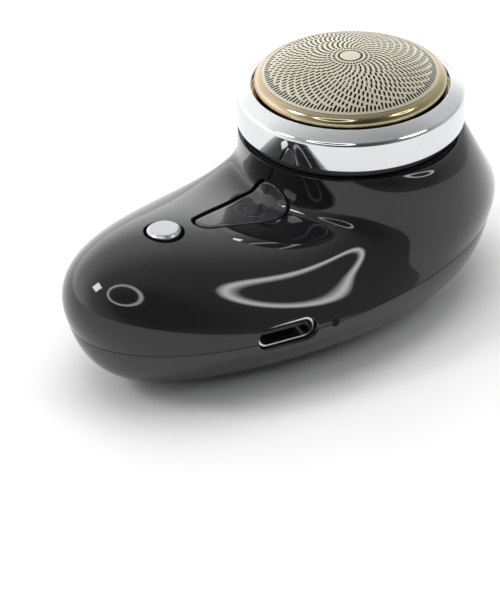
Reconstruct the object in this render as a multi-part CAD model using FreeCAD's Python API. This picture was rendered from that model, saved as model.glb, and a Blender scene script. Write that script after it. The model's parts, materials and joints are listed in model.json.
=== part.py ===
import FreeCAD, Part
import os
from math import atan2, cos, degrees, pi, radians, sin, sqrt, tan
from FreeCAD import Placement, Rotation, Vector

# Pocket rotary shaver, in millimetres. The origin is the bottom centre of the whole shaver, +X points
# at the shaving head, -Y is the charging side and +Z is up. The shaver rests on its flat base.

# ---- driving dimensions ----
HEAD_X = 13.7            # the head's axis, measured from the origin
WALL = 1.6               # both casings
SEAM_Z = 11.1            # where the two casings meet
SEAM_GAP = 0.12          # visible parting line
LIP_Z = 27.4             # top edge of the neck
LIP_R = 16.9
DECK_Z = 26.0            # top of the deck that closes the neck
RING_Z = 28.9            # lower edge of the chrome ring
RING_R = 17.0
RIM_Z = 34.7             # upper edge of the chrome ring
RIM_R = 14.7             # its opening
FRAME_R = 14.35          # foil frame, outside
FOIL_R = 13.2            # edge of the slotted foil
FOIL_EDGE_Z = 36.2
APEX_Z = 39.0            # top of the foil, and of the shaver
FOIL_T = 0.2
FOIL_TRAVEL = 0.5
LINE_Y = -0.65           # the button and the window lie this far to the charging side
BUTTON_X = -22.4
BUTTON_R = 2.5
BUTTON_HOLE_R = 3.0
BUTTON_TOP_Z = 24.1
BUTTON_TRAVEL = 0.5
WINDOW_TAIL = (-15.0, 1.9)      # x and radius of the window's narrow end
WINDOW_HEAD = (-7.9, 5.0)       # x and radius of its wide end
WINDOW_GROOVE = 0.55            # width of the groove round the lens
WINDOW_SINK = 0.08              # lens below the casing's surface
WINDOW_T = 0.8
GUIDE_X = -6.2
PORT = Vector(-14.7, -19.0, 11.3)    # middle of the charging inlet's mouth
PORT_TURN = -15.0               # the side wall's direction there, degrees about Z
PORT_W, PORT_H = 8.94, 3.26     # USB-C receptacle shell
PORT_DEPTH = 7.3
PORT_SINK = 1.1                 # inlet's steel below the mouth
PORT_GAP = 0.22                 # clearance of the opening round the steel
LED_HOLE = Vector(-7.3, -20.9, 11.1)
LED_HOLE_R = 0.6
PCB_TOP = 10.9
PCB_T = 0.8
MOTOR_R = 10.0
MOTOR_FLAT = 7.7                # half the width across the can's flats
MOTOR_Z = (5.0, 20.5)
SHAFT_R = 1.0
BATTERY = ((-22.0, -2.0), (-8.5, 8.5), (3.8, 9.6))
SHELL_SCREWS = ((-30.5, 0.0), (1.1, 12.5), (1.1, -12.5), (29.0, 0.0))
RUN = 0.03                      # radial running clearance

# ---- casing outline ----
# Each ring of the control net is given from the head's axis: tail x, nose x, half width, egg skew,
# and the heights at the tail, the side and the nose. Cubic splines join the rings.
UPPER_RINGS = (
    (-16.9, 16.9, 16.9, 0.00, 27.4, 27.4, 27.4),
    (-15.6, 17.5, 19.3, -0.05, 21.4, 26.2, 24.7),
    (-16.0, 20.4, 19.3, 0.15, 18.8, 18.4, 19.8),
    (-41.0, 23.8, 19.3, 0.20, 26.9, 13.6, 16.6),
    (-54.1, 24.8, 20.8, 0.09, 19.3, 12.4, 13.7),
    (-51.0, 23.7, 21.3, 0.04, SEAM_Z, SEAM_Z, SEAM_Z),
)
LOWER_RINGS = (
    (-51.0, 23.7, 21.3, 0.04, SEAM_Z, SEAM_Z, SEAM_Z),
    (-50.0, 19.8, 20.7, 0.22, 5.0, 5.0, 5.0),
    (-44.6, 16.9, 13.0, 0.23, 0.3, 0.3, 0.3),
    (-35.5, 11.5, 8.5, 0.10, 0.0, 0.0, 0.0),
)
RING_POINTS = 24


def save(name, shape):
    shape.exportStep("parts/" + name + ".step")
    print("%-22s solids %d  volume %.2f  valid %s" % (name, len(shape.Solids), shape.Volume, shape.isValid()))


# ---- primitives ----
def rod(x, y, z0, z1, r):
    return Part.makeCylinder(r, z1 - z0, Vector(x, y, z0))


def tube(x, y, z0, z1, r_out, r_in):
    return rod(x, y, z0, z1, r_out).cut(rod(x, y, z0 - 1, z1 + 1, r_in))


def block(xs, ys, zs):
    return Part.makeBox(xs[1] - xs[0], ys[1] - ys[0], zs[1] - zs[0], Vector(xs[0], ys[0], zs[0]))


def centred(x, y, z0, length, width, height):
    return block((x - length / 2, x + length / 2), (y - width / 2, y + width / 2), (z0, z0 + height))


def polygon_face(points):
    return Part.Face(Part.makePolygon(points + [points[0]]))


def turned(points, x=HEAD_X, y=0):
    """Solid of revolution of a closed (radius, z) outline about a vertical axis."""
    face = polygon_face([Vector(x + r, y, z) for r, z in points])
    return face.revolve(Vector(x, y, 0), Vector(0, 0, 1), 360)


def arc_points(centre, radius, start, end, steps):
    """(radius, z) points on an arc, angles in degrees."""
    turns = [radians(start + (end - start) * i / steps) for i in range(steps + 1)]
    return [(centre[0] + radius * cos(a), centre[1] + radius * sin(a)) for a in turns]


def join(shapes):
    whole = shapes[0]
    for shape in shapes[1:]:
        whole = whole.fuse(shape)
    return whole.removeSplitter()


def group(shapes):
    return Part.makeCompound(shapes)


def around(shape, count, x=HEAD_X, start=0.0):
    """Copies of a shape, evenly turned about a vertical axis."""
    turns = [start + 360.0 * i / count for i in range(count)]
    return [shape.rotated(Vector(x, 0, 0), Vector(0, 0, 1), turn) for turn in turns]


# ---- casing surfaces ----
def ring_poles(ring):
    """Control points of one ring. The uniform cubic spline flattens a harmonic of order m by
    (2 + cos m step) / 3, so each harmonic is enlarged by that much first."""
    tail, nose, width, skew, z_tail, z_side, z_nose = ring
    step = 2 * pi / RING_POINTS
    first, second = (2 + cos(step)) / 3, (2 + cos(2 * step)) / 3
    middle_x, half_x = (tail + nose) / 2, (nose - tail) / 2
    z_end, z_slope = (z_tail + z_nose) / 2, (z_nose - z_tail) / 2
    z_wave = (z_end - z_side) / 2
    poles = []
    for i in range(RING_POINTS):
        s = step * i
        x = middle_x + half_x * cos(s) / first
        y = width * (sin(s) / first + skew * sin(2 * s) / 2 / second)
        z = z_side + z_wave + z_slope * cos(s) / first + z_wave * cos(2 * s) / second
        poles.append(Vector(HEAD_X + x, y, z))
    return poles


def stack(rings):
    """Closed solid through a stack of rings whose first and last rings are flat."""
    surface = Part.BSplineSurface()
    spans = len(rings) - 3
    inner = [(i + 1) / spans for i in range(spans - 1)]
    surface.buildFromPolesMultsKnots(
        [list(row) for row in zip(*[ring_poles(ring) for ring in rings])],
        [1] * (RING_POINTS + 1), [4] + [1] * len(inner) + [4],
        [float(i) for i in range(RING_POINTS + 1)], [0.0] + inner + [1.0],
        True, False, 3, 3)
    side = surface.toShape()
    caps = [Part.Face(Part.Wire([surface.vIso(v).toShape()])) for v in (0.0, 1.0)]
    shell = Part.makeShell([side] + caps)
    shell.sewShape()
    solid = Part.makeSolid(shell)
    if solid.Volume < 0:
        solid.reverse()
    return solid


def profile_inset(points, depth):
    """Moves the points of one open profile inwards, square to it. Points are (outwards, z)."""
    moved = []
    for i, point in enumerate(points):
        before, after = points[max(i - 1, 0)], points[min(i + 1, len(points) - 1)]
        along, down = after[0] - before[0], before[1] - after[1]
        length = sqrt(along * along + down * down)
        moved.append((point[0] - depth * down / length, point[1] - depth * along / length))
    return moved


def inset(rings, depth):
    """The same stack of rings, everywhere depth further in."""
    tail = profile_inset([(-ring[0], ring[4]) for ring in rings], depth)
    side = profile_inset([(ring[2], ring[5]) for ring in rings], depth)
    nose = profile_inset([(ring[1], ring[6]) for ring in rings], depth)
    rows = zip(rings, tail, side, nose)
    return [(-t[0], n[0], s[0], ring[3], t[1], s[1], n[1]) for ring, t, s, n in rows]


def levelled(ring, z):
    return ring[:4] + (z, z, z)


def upper_solid(depth):
    """Upper body, inset by depth, from the neck's lip down to below the seam."""
    rings = inset(UPPER_RINGS, depth)
    rings[0] = levelled(rings[0], LIP_Z)
    rings[-1] = levelled(rings[-1], SEAM_Z)
    return stack(rings)


def lower_solid(depth):
    """Lower body, inset by depth, from the seam down to the base."""
    rings = inset(LOWER_RINGS, depth)
    rings[0] = levelled(rings[0], SEAM_Z)
    rings[-1] = levelled(rings[-1], depth)
    rings[-2] = rings[-2][:4] + (max(rings[-2][4], depth),) * 3
    return stack(rings)


def seam_slab(depth, z0, z1):
    """Flat slab with the seam's outline, inset by depth."""
    ring = inset(UPPER_RINGS, depth)[-1]
    curve = Part.BSplineCurve()
    poles = ring_poles(levelled(ring, z0))
    curve.buildFromPolesMultsKnots(
        poles, [1] * (RING_POINTS + 1), [float(i) for i in range(RING_POINTS + 1)], True, 3)
    return Part.Face(Part.Wire([curve.toShape()])).extrude(Vector(0, 0, z1 - z0))


def seam_band(outer_depth, inner_depth, z0, z1):
    return seam_slab(outer_depth, z0, z1).cut(seam_slab(inner_depth, z0 - 1, z1 + 1))


def drop_prism(shrink, z0, z1):
    """Upright teardrop: two circles and their outer tangents."""
    (x0, r0), (x1, r1) = WINDOW_TAIL, WINDOW_HEAD
    r0, r1 = r0 - shrink, r1 - shrink
    lean = atan2(r1 - r0, sqrt((x1 - x0) ** 2 - (r1 - r0) ** 2))

    def on(x, r, side):
        return Vector(x - r * sin(lean), LINE_Y + side * r * cos(lean), z0)

    edges = [
        Part.LineSegment(on(x0, r0, 1), on(x1, r1, 1)),
        Part.Arc(on(x1, r1, 1), Vector(x1 + r1, LINE_Y, z0), on(x1, r1, -1)),
        Part.LineSegment(on(x1, r1, -1), on(x0, r0, -1)),
        Part.Arc(on(x0, r0, -1), Vector(x0 - r0, LINE_Y, z0), on(x0, r0, 1)),
    ]
    wire = Part.Wire([edge.toShape() for edge in edges])
    return Part.Face(wire).extrude(Vector(0, 0, z1 - z0))


def port_space(width, height, start, depth):
    """Round-ended slot in the charging side, start mm outside the mouth and depth mm deep."""
    half, r = width / 2 - height / 2, height / 2
    ends = [Vector(-half, 0, r), Vector(half, 0, r), Vector(half, 0, -r), Vector(-half, 0, -r)]
    edges = [
        Part.LineSegment(ends[0], ends[1]),
        Part.Arc(ends[1], Vector(half + r, 0, 0), ends[2]),
        Part.LineSegment(ends[2], ends[3]),
        Part.Arc(ends[3], Vector(-half - r, 0, 0), ends[0]),
    ]
    face = Part.Face(Part.Wire([edge.toShape() for edge in edges]))
    slot = face.extrude(Vector(0, depth, 0))
    slot.translate(Vector(0, -start, 0))
    slot.Placement = Placement(PORT, Rotation(Vector(0, 0, 1), PORT_TURN)).multiply(slot.Placement)
    return slot


def port_opening():
    return port_space(PORT_W + 2 * PORT_GAP, PORT_H + 2 * PORT_GAP, 3, PORT_DEPTH + 4.5)


def side_pin(point, r, start, length):
    """Pin through the side wall, square to the seam's outline at the point."""
    pin = Part.makeCylinder(r, length, Vector(0, -start, 0), Vector(0, 1, 0))
    pin.Placement = Placement(point, Rotation(Vector(0, 0, 1), -6.0)).multiply(pin.Placement)
    return pin


def bent_wire(start, corner, end, bend, r):
    """Round wire of two straight runs joined by a tangent arc."""
    back, ahead = (start - corner).normalize(), (end - corner).normalize()
    reach = bend / tan(back.getAngle(ahead) / 2)
    first, last = corner + back * reach, corner + ahead * reach
    inward = (back + ahead).normalize()
    centre = corner + inward * sqrt(reach * reach + bend * bend)
    middle = centre - inward * bend
    path = Part.Wire([
        Part.LineSegment(start, first).toShape(),
        Part.Arc(first, middle, last).toShape(),
        Part.LineSegment(last, end).toShape(),
    ])
    section = Part.Wire([Part.Circle(start, corner - start, r).toShape()])
    return path.makePipeShell([section], True, False)


# ---- casings ----
def screw_seats():
    """Each shell screw's x, y and the height of the casing's outside there."""
    outer = lower_solid(0)
    seats = []
    for x, y in SHELL_SCREWS:
        column = outer.common(Part.makeLine(Vector(x, y, -1), Vector(x, y, SEAM_Z)))
        seats.append((x, y, column.BoundBox.ZMin))
    return seats


def screw_posts(z0, z1, r):
    return [rod(x, y, z0, z1, r) for x, y in SHELL_SCREWS]


def make_top_shell():
    outer = upper_solid(0)
    below_deck = block((-60, 60), (-40, 40), (0, DECK_Z - WALL))
    cavity = upper_solid(WALL).common(below_deck)
    shell = outer.cut(cavity)
    posts = [post.common(cavity) for post in screw_posts(SEAM_Z, 40, 2.4)]
    sleeve = tube(BUTTON_X, LINE_Y, 18.6, 30, 4.9, 4.0).common(cavity)
    bracket_posts = [rod(HEAD_X, y, 21.5, DECK_Z - WALL, 2.0) for y in (-10.7, 10.7)]
    spigot = tube(HEAD_X, 0, DECK_Z - 0.2, 30.2, 13.2, 11.8)
    shell = shell.cut(rod(HEAD_X, 0, DECK_Z, LIP_Z + 1, LIP_R - 1.3))
    shell = join([shell, sleeve, spigot] + posts + bracket_posts)
    holes = [rod(x, y, 0, SEAM_Z + 7, 0.95) for x, y in SHELL_SCREWS]
    holes += [rod(HEAD_X, y, 20, 23.9, 0.8) for y in (-10.7, 10.7)]
    holes += [rod(HEAD_X, 0, 20, 30, 3.5), rod(BUTTON_X, LINE_Y, 20.2, 40, BUTTON_HOLE_R)]
    window = drop_prism(0, 15, DECK_Z - 2).cut(upper_solid(WINDOW_SINK + WINDOW_T + 0.05))
    holes += [window, rod(GUIDE_X, LINE_Y, 15, 30, 2.05)]
    holes += [port_opening(), side_pin(LED_HOLE, LED_HOLE_R, 2, 6)]
    holes += [seam_band(0.55, 1.15, SEAM_Z - 1, SEAM_Z + 0.5)]
    holes += [block((-60, 60), (-40, 40), (SEAM_Z - 5, SEAM_Z + SEAM_GAP / 2))]
    for hole in holes:
        shell = shell.cut(hole)
    return shell


def make_bottom_shell():
    outer = lower_solid(0)
    cavity = lower_solid(WALL)
    shell = outer.cut(cavity)
    posts = [post.common(outer) for post in screw_posts(0, 20, 2.4)]
    rests = [rod(x, y, 1, PCB_TOP - PCB_T, 1.3).common(cavity) for x in (-20.0, -10.5) for y in (-12.6, 12.6)]
    shell = join([shell] + posts + rests)
    holes = [rod(x, y, 0, 20, 1.1) for x, y in SHELL_SCREWS]
    holes += [rod(x, y, -1, z + 2.4, 1.9) for x, y, z in screw_seats()]
    holes += [port_opening(), side_pin(LED_HOLE, LED_HOLE_R, 2, 6)]
    holes += [seam_band(0.55, 1.15, SEAM_Z - 0.5, SEAM_Z + 1)]
    holes += [block((-60, 60), (-40, 40), (SEAM_Z - SEAM_GAP / 2, SEAM_Z + 5))]
    for hole in holes:
        shell = shell.cut(hole)
    return shell


def make_shell_gasket():
    band = seam_band(0.55, 1.15, SEAM_Z - 0.5, SEAM_Z + 0.5)
    band = band.cut(port_opening())
    return band.cut(side_pin(LED_HOLE, LED_HOLE_R, 2, 6))


def make_shell_screws():
    screws = []
    for x, y, z in screw_seats():
        screw = rod(x, y, z + 1.4, z + 2.4, 1.7).fuse(rod(x, y, z + 2.4, SEAM_Z + 5.5, 0.95))
        for length, width in ((2.2, 0.45), (0.45, 2.2)):
            screw = screw.cut(centred(x, y, z + 1.3, length, width, 0.6))
        screws.append(screw)
    return group(screws)


def make_screw_caps():
    inside = lower_solid(0.3)
    return group([rod(x, y, 0, z + 1.35, 1.88).common(inside) for x, y, z in screw_seats()])


# ---- shaving head ----
def make_head_base():
    inner = 13.2 + 0.15
    outline = [(inner, 26.3), (15.3, 26.3), (15.3, 27.6), (15.9, 27.6), (15.9, 31.1), (inner, 31.1)]
    return turned(outline)


def make_head_ring():
    shoulder = arc_points((RING_R - 1.25, 32.85), 1.0, 0, 75, 8)
    bevel = arc_points((RIM_R + 0.25, RIM_Z - 0.25), 0.25, 70, 180, 6)
    outline = [(15.95, RING_Z), (RING_R - 0.12, RING_Z), (RING_R, RING_Z + 0.12)]
    outline += shoulder + [(16.25, 33.95)] + bevel
    outline += [(RIM_R, 33.6), (15.95, 33.6)]
    return turned(outline)


def make_foil_retainer():
    return tube(HEAD_X, 0, 31.1, 31.9, 15.9, 14.6)


def make_foil_frame():
    shoulder = arc_points((FRAME_R - 1.3, 34.95), 1.3, 0, 72, 10)
    outline = [(15.6, 32.6), (15.6, 33.4), (FRAME_R, 33.4)] + shoulder
    seat = FOIL_EDGE_Z - 0.26
    outline += [(FOIL_R, FOIL_EDGE_Z - 0.02), (FOIL_R, seat), (12.8, seat), (12.8, 32.6)]
    return turned(outline)


def dome(radius, z_down):
    """Part of the foil's ball, out to a radius, its surface z_down below the foil's outside."""
    rise = APEX_Z - FOIL_EDGE_Z
    ball_r = (FOIL_R ** 2 + rise ** 2) / (2 * rise)
    ball = Part.makeSphere(ball_r - z_down, Vector(HEAD_X, 0, APEX_Z - ball_r))
    return ball.common(rod(HEAD_X, 0, 30, 45, radius))


def make_foil():
    return dome(FOIL_R - 0.02, 0).cut(dome(FOIL_R + 1, FOIL_T))


def make_cutter_carrier():
    disc = tube(HEAD_X, 0, 31.0, 32.4, 12.4, 1.4)
    hub = tube(HEAD_X, 0, 32.4, 34.6, 3.0, 1.4)
    slots = around(rod(HEAD_X + 8.3, 0, 30, 33, 1.7), 6, start=30)
    carrier = join([disc, hub])
    for slot in slots:
        carrier = carrier.cut(slot)
    return carrier


def make_cutter_blades():
    blade = block((HEAD_X + 3.1, HEAD_X + 12.2), (-0.25, 0.25), (32.4, 40))
    blade.rotate(Vector(HEAD_X + 3.1, 0, 0), Vector(0, 0, 1), 14)
    ceiling = dome(12.3, FOIL_T + 0.15)
    return group([one.common(ceiling) for one in around(blade, 9)])


def hexagon(x, across, z0, z1):
    r = across / 2 / cos(radians(30))
    corners = [Vector(x + r * cos(radians(60 * i)), r * sin(radians(60 * i)), z0) for i in range(6)]
    return polygon_face(corners).extrude(Vector(0, 0, z1 - z0))


def make_cutter_pin():
    return hexagon(HEAD_X, 2.4, 27.9, 31.0).fuse(rod(HEAD_X, 0, 31.0, 34.6, 1.4)).removeSplitter()


# ---- drive ----
def make_drive_hub():
    hub = rod(HEAD_X, 0, 26.3, 27.0, 4.4).fuse(rod(HEAD_X, 0, 27.0, 30.0, 2.6)).removeSplitter()
    return hub.cut(hexagon(HEAD_X, 2.7, 27.2, 31)).cut(rod(HEAD_X, 0, 26, 27.1, SHAFT_R))


def make_drive_spring():
    wire_r, coil_r, pitch, steps = 0.25, 3.4, 1.0, 24
    low, high = 27.0 + wire_r, 30.95 - wire_r
    turns = (high - low) / pitch
    count = int(turns * steps)
    points = []
    for i in range(count + 1):
        angle = 2 * pi * turns * i / count
        points.append(Vector(HEAD_X + coil_r * cos(angle), coil_r * sin(angle), low + (high - low) * i / count))
    path = Part.BSplineCurve()
    path.interpolate(points)
    section = Part.Wire([Part.Circle(points[0], Vector(0, 1, 0), wire_r).toShape()])
    return Part.Wire([path.toShape()]).makePipeShell([section], True, True)


def flattened(shape, half):
    return shape.common(block((HEAD_X - 30, HEAD_X + 30), (-half, half), (-10, 60)))


def make_motor_can():
    outside = flattened(rod(HEAD_X, 0, MOTOR_Z[0], MOTOR_Z[1], MOTOR_R), MOTOR_FLAT)
    inside = flattened(rod(HEAD_X, 0, MOTOR_Z[0] - 1, MOTOR_Z[1] - 0.8, MOTOR_R - 0.7), MOTOR_FLAT - 0.7)
    can = outside.cut(inside).cut(rod(HEAD_X, 0, 15, 25, 3.0))
    for x in (-6.0, 6.0):
        can = can.cut(rod(HEAD_X + x, 0, 15, 25, 0.8))
    return can


def make_motor_magnets():
    ring = tube(HEAD_X, 0, 7.5, 18.0, MOTOR_R - 0.75, 7.4)
    halves = [block((HEAD_X + 4.5, HEAD_X + 12), (-5.6, 5.6), (0, 30))]
    halves.append(halves[0].rotated(Vector(HEAD_X, 0, 0), Vector(0, 0, 1), 180))
    return group([ring.common(half) for half in halves])


def make_motor_end_cap():
    cap = flattened(rod(HEAD_X, 0, 3.0, 5.0, MOTOR_R - 0.2), MOTOR_FLAT - 0.2)
    plug = flattened(tube(HEAD_X, 0, 5.0, 6.2, MOTOR_R - 0.75, 5.6), MOTOR_FLAT - 0.75)
    cap = cap.fuse(plug).removeSplitter().cut(rod(HEAD_X, 0, 2, 7, 2.4))
    for y in (-3.0, 3.0):
        cap = cap.cut(centred(HEAD_X - 8.0, y, 2.5, 5.2, 2.2, 1.5))
    return cap


def make_motor_terminals():
    tabs = [centred(HEAD_X - 8.0, y, 3.3, 5.0, 1.8, 0.4) for y in (-3.0, 3.0)]
    return group([tab.cut(rod(HEAD_X - 10.0, 0, 3, 4, 0.3)) for tab in tabs])


def make_motor_brushes():
    arms = [block((HEAD_X + 2.25, HEAD_X + 3.45), (-1.0, 1.0), (6.3, 7.9))]
    arms.append(arms[0].rotated(Vector(HEAD_X, 0, 0), Vector(0, 0, 1), 180))
    return group(arms)


def make_motor_commutator():
    ring = tube(HEAD_X, 0, 6.2, 8.4, 2.2, 1.0)
    for slot in around(block((HEAD_X + 1.6, HEAD_X + 4), (-0.12, 0.12), (5, 10)), 3):
        ring = ring.cut(slot)
    return ring


def make_motor_armature():
    core = tube(HEAD_X, 0, 9.6, 16.6, 3.0, SHAFT_R)
    stem = block((HEAD_X + 2.0, HEAD_X + 6.2), (-1.1, 1.1), (9.6, 16.6))
    shoe = tube(HEAD_X, 0, 9.6, 16.6, 6.8, 5.6)
    wedge = polygon_face([Vector(HEAD_X, 0, 9.0), Vector(HEAD_X + 10, -9.2, 9.0), Vector(HEAD_X + 10, 9.2, 9.0)])
    shoe = shoe.common(wedge.extrude(Vector(0, 0, 9)))
    return join([core] + around(stem, 3) + around(shoe, 3)).cut(rod(HEAD_X, 0, 5, 20, SHAFT_R))


def make_motor_windings():
    coil = centred(HEAD_X + 4.2, 0, 8.8, 2.0, 4.0, 8.6).cut(centred(HEAD_X + 4.2, 0, 9.59, 3, 2.22, 7.02))
    return group(around(coil, 3))


def make_motor_shaft():
    return rod(HEAD_X, 0, 3.8, 27.1, SHAFT_R)


def make_front_bush():
    return tube(HEAD_X, 0, 19.7, 22.0, 3.0, SHAFT_R + RUN)


def make_rear_bush():
    return tube(HEAD_X, 0, 3.2, 5.4, 2.4, SHAFT_R + RUN)


def make_shaft_seal():
    outline = [(3.5, 24.4), (3.5, 26.0), (1.6, 26.0), (1.15, 25.5), (1.15, 25.2), (2.4, 25.2), (2.4, 24.4)]
    return turned(outline)


def make_motor_bracket():
    plate = rod(HEAD_X, 0, 20.5, 21.5, 12.9)
    plate = plate.common(block((HEAD_X - 8.5, HEAD_X + 8.5), (-13, 13), (20, 22)))
    for x, y, r in ((0, 0, 3.0), (-6, 0, 0.9), (6, 0, 0.9), (0, -10.7, 0.9), (0, 10.7, 0.9)):
        plate = plate.cut(rod(HEAD_X + x, y, 20, 22, r))
    return plate


def small_screw(x, y, head_z, tip_z, head_r, shank_r):
    """Pan-head screw with a cross slot: its head is 0.8 mm thick, and it points from head_z to tip_z."""
    up = 1 if tip_z > head_z else -1
    head = rod(x, y, min(head_z, head_z + 0.8 * up), max(head_z, head_z + 0.8 * up), head_r)
    shank = rod(x, y, min(head_z + 0.8 * up, tip_z), max(head_z + 0.8 * up, tip_z), shank_r)
    screw = head.fuse(shank).removeSplitter()
    for length, width in ((head_r * 1.3, 0.35), (0.35, head_r * 1.3)):
        screw = screw.cut(centred(x, y, head_z - 0.35, length, width, 0.7))
    return screw


def make_bracket_screws():
    return group([small_screw(HEAD_X, y, 19.7, 23.6, 1.5, 0.8) for y in (-10.7, 10.7)])


def make_motor_screws():
    return group([small_screw(HEAD_X + x, 0, 22.3, 19.8, 1.5, 0.8) for x in (-6.0, 6.0)])


# ---- button, window and inlet ----
def make_button_cap():
    edge = arc_points((BUTTON_R - 0.45, BUTTON_TOP_Z - 0.45), 0.45, 0, 60, 4)
    outline = [(0, 22.0), (BUTTON_R, 22.0)] + edge + [(BUTTON_R - 0.45, BUTTON_TOP_Z), (0, BUTTON_TOP_Z)]
    return turned(outline, BUTTON_X, LINE_Y)


def make_button_stem():
    outline = [(0, 15.2), (1.3, 15.2), (1.3, 20.6), (3.6, 20.6), (3.6, 21.2), (1.7, 21.2), (1.7, 22.0), (0, 22.0)]
    return turned(outline, BUTTON_X, LINE_Y)


def make_button_seal():
    outline = [(1.45, 18.9), (1.9, 18.6), (4.0, 18.6), (4.0, 19.6), (3.2, 19.6), (2.6, 19.2), (1.45, 19.2)]
    return turned(outline, BUTTON_X, LINE_Y)


def make_tact_switch():
    body = centred(BUTTON_X, LINE_Y, PCB_TOP, 6.0, 6.0, 3.4)
    body = body.cut(rod(BUTTON_X, LINE_Y, PCB_TOP + 1.6, 20, 1.75))
    legs = [centred(BUTTON_X + x, LINE_Y + y, PCB_TOP, 0.7, 0.8, 0.6) for x in (-2.2, 2.2) for y in (-3.4, 3.4)]
    return join([body] + legs)


def make_switch_plunger():
    return rod(BUTTON_X, LINE_Y, PCB_TOP + 2.4, 15.2, 1.6)


def make_indicator_window():
    lens = drop_prism(WINDOW_GROOVE, 15, DECK_Z - 2)
    return lens.common(upper_solid(WINDOW_SINK)).cut(upper_solid(WINDOW_SINK + WINDOW_T))


def make_light_guide():
    return rod(GUIDE_X, LINE_Y, 12.2, 30, 2.0).common(upper_solid(WINDOW_SINK + WINDOW_T + 0.05))


def make_indicator_led():
    base = centred(GUIDE_X, LINE_Y, PCB_TOP, 3.2, 2.8, 0.5)
    return base.fuse(rod(GUIDE_X, LINE_Y, PCB_TOP + 0.5, PCB_TOP + 1.0, 1.1)).removeSplitter()


def make_usb_shell():
    outside = port_space(PORT_W, PORT_H, -PORT_SINK, PORT_DEPTH)
    return outside.cut(port_space(PORT_W - 0.6, PORT_H - 0.6, 0.1 - PORT_SINK, PORT_DEPTH - 1.0))


def make_usb_tongue():
    tongue = Part.makeBox(6.7, PORT_DEPTH - 2.1, 0.7, Vector(-3.35, PORT_SINK + 1.0, -0.35))
    tongue.Placement = Placement(PORT, Rotation(Vector(0, 0, 1), PORT_TURN)).multiply(tongue.Placement)
    return tongue


def make_light_pipe():
    return side_pin(LED_HOLE, LED_HOLE_R, -0.25, 2.7)


# ---- electronics ----
def make_main_pcb():
    board = seam_slab(3.4, PCB_TOP - PCB_T, PCB_TOP)
    board = board.common(block((-29.6, 0.5), (-30, 30), (0, 20)))
    for x, y in SHELL_SCREWS:
        board = board.cut(rod(x, y, 5, 15, 2.9))
    return board.cut(port_opening())


def make_charge_led():
    return centred(-7.2, -16.4, PCB_TOP, 1.6, 0.8, 0.8)


def make_charge_ic():
    body = centred(-10.5, 6.5, PCB_TOP + 0.1, 4.0, 4.0, 0.9)
    legs = [centred(-10.5 + x, 6.5 + y, PCB_TOP, 0.4, 0.8, 0.3)
            for x in (-1.5, -0.5, 0.5, 1.5) for y in (-2.3, 2.3)]
    return join([body] + legs)


def make_pcb_components():
    sizes = ((-17.0, 7.5, 3.0, 3.0, 1.8), (-4.5, 6.5, 1.6, 0.8, 0.6), (-4.5, 8.5, 1.6, 0.8, 0.6),
             (-4.5, 10.5, 1.6, 0.8, 0.6), (-1.6, -5.5, 2.0, 1.25, 0.9), (-1.6, -8.0, 2.0, 1.25, 0.9),
             (-22.0, 8.0, 3.2, 1.6, 1.2), (-26.5, -5.5, 1.6, 0.8, 0.6), (-26.5, 5.5, 1.6, 0.8, 0.6))
    return group([centred(x, y, PCB_TOP, length, width, height) for x, y, length, width, height in sizes])


def make_battery_cell():
    cell = block(*BATTERY)
    long_edges = [edge for edge in cell.Edges if abs(edge.Vertexes[0].X - edge.Vertexes[1].X) > 1]
    return cell.makeFillet(1.6, long_edges)


def make_battery_pad():
    return block((-12.0, -3.0), (-7.0, 7.0), (1.7, BATTERY[2][0]))


def make_battery_leads():
    front = BATTERY[0][1]
    board = PCB_TOP - PCB_T
    ends = [(y, Vector(front, y, 6.4)) for y in (-3.0, 3.0)]
    return group([bent_wire(start, Vector(front + 1.2, y, 6.4), Vector(front + 1.2, y, board), 0.8, 0.4)
                  for y, start in ends])


def make_motor_leads():
    board = PCB_TOP - PCB_T
    return group([bent_wire(Vector(HEAD_X - 10.5, y, 3.5), Vector(HEAD_X - 13.7, y, 3.5),
                            Vector(HEAD_X - 13.7, y, board), 1.3, 0.4) for y in (-6.5, 6.5)])


PIECES = {
    "top_shell": make_top_shell, "bottom_shell": make_bottom_shell, "shell_gasket": make_shell_gasket,
    "shell_screws": make_shell_screws, "screw_caps": make_screw_caps, "head_base": make_head_base,
    "head_ring": make_head_ring, "foil_retainer": make_foil_retainer, "foil_frame": make_foil_frame,
    "foil": make_foil, "cutter_carrier": make_cutter_carrier, "cutter_blades": make_cutter_blades,
    "cutter_pin": make_cutter_pin, "drive_hub": make_drive_hub, "drive_spring": make_drive_spring,
    "motor_can": make_motor_can, "motor_magnets": make_motor_magnets, "motor_end_cap": make_motor_end_cap,
    "motor_terminals": make_motor_terminals, "motor_brushes": make_motor_brushes,
    "motor_commutator": make_motor_commutator, "motor_armature": make_motor_armature,
    "motor_windings": make_motor_windings, "motor_shaft": make_motor_shaft, "front_bush": make_front_bush, "rear_bush": make_rear_bush,
    "shaft_seal": make_shaft_seal, "motor_bracket": make_motor_bracket,
    "bracket_screws": make_bracket_screws, "motor_screws": make_motor_screws,
    "button_cap": make_button_cap, "button_stem": make_button_stem, "button_seal": make_button_seal,
    "tact_switch": make_tact_switch, "switch_plunger": make_switch_plunger,
    "indicator_window": make_indicator_window, "indicator_light_guide": make_light_guide,
    "indicator_led": make_indicator_led, "usb_c_shell": make_usb_shell, "usb_c_tongue": make_usb_tongue,
    "charge_light_pipe": make_light_pipe, "main_pcb": make_main_pcb, "charge_led": make_charge_led,
    "charge_ic": make_charge_ic, "pcb_components": make_pcb_components,
    "battery_cell": make_battery_cell, "battery_pad": make_battery_pad,
    "battery_leads": make_battery_leads, "motor_leads": make_motor_leads,
}

os.makedirs("parts", exist_ok=True)
for name, make in PIECES.items():
    save(name, make())
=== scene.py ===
import json
from math import cos, pi, radians, sin, sqrt

import bmesh
import bpy
import numpy as np
from mathutils import Matrix, Vector, geometry
from mathutils.bvhtree import BVHTree
from mathutils.interpolate import poly_3d_calc


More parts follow.
